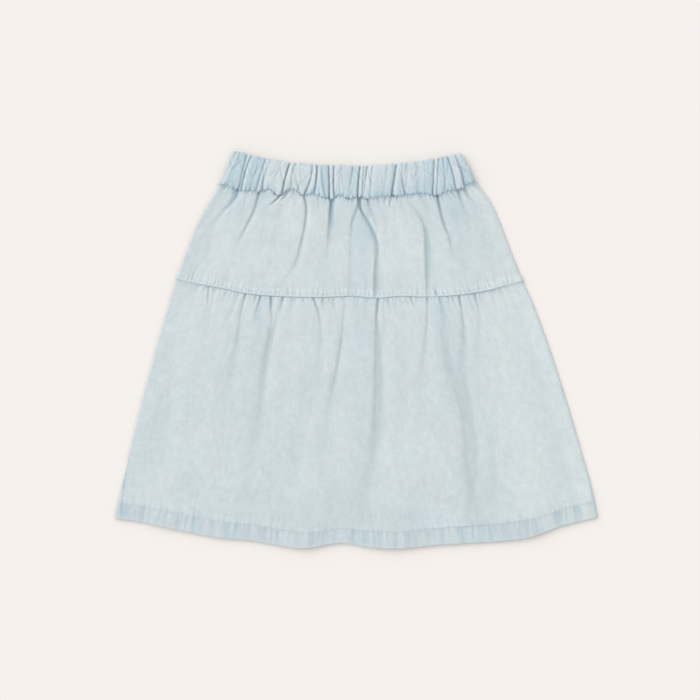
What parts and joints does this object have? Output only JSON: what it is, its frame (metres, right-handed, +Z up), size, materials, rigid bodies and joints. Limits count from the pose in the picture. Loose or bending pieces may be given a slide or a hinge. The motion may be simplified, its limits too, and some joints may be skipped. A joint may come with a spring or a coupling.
{
  "type": "denim skirt",
  "caption": "Child's pull-on denim skirt laid flat: gathered elastic waistband, smooth upper tier, fuller gathered lower tier, turned hem.",
  "frame": {"origin": "on the surface that the skirt lies on, under the middle of its outline", "axes": "+X across the laid skirt to the viewer's right, +Y from the hem to the waist, +Z up from the surface, out of the front"},
  "size_m": [0.5308, 0.4372, 0.0097],
  "materials": {
    "waistband_denim": "matte washed denim, a little bluer, gathered",
    "tier_denim": "matte bleached light blue denim",
    "hem_denim": "matte washed denim with worn puckers"
  },
  "bodies": {
    "root": {"waistband_front": "waistband_denim", "waistband_back": "waistband_denim", "upper_tier_front": "tier_denim", "upper_tier_back": "tier_denim", "lower_tier_front": "tier_denim", "lower_tier_back": "tier_denim", "hem_front": "hem_denim", "hem_back": "hem_denim"}
  },
  "joints": []
}
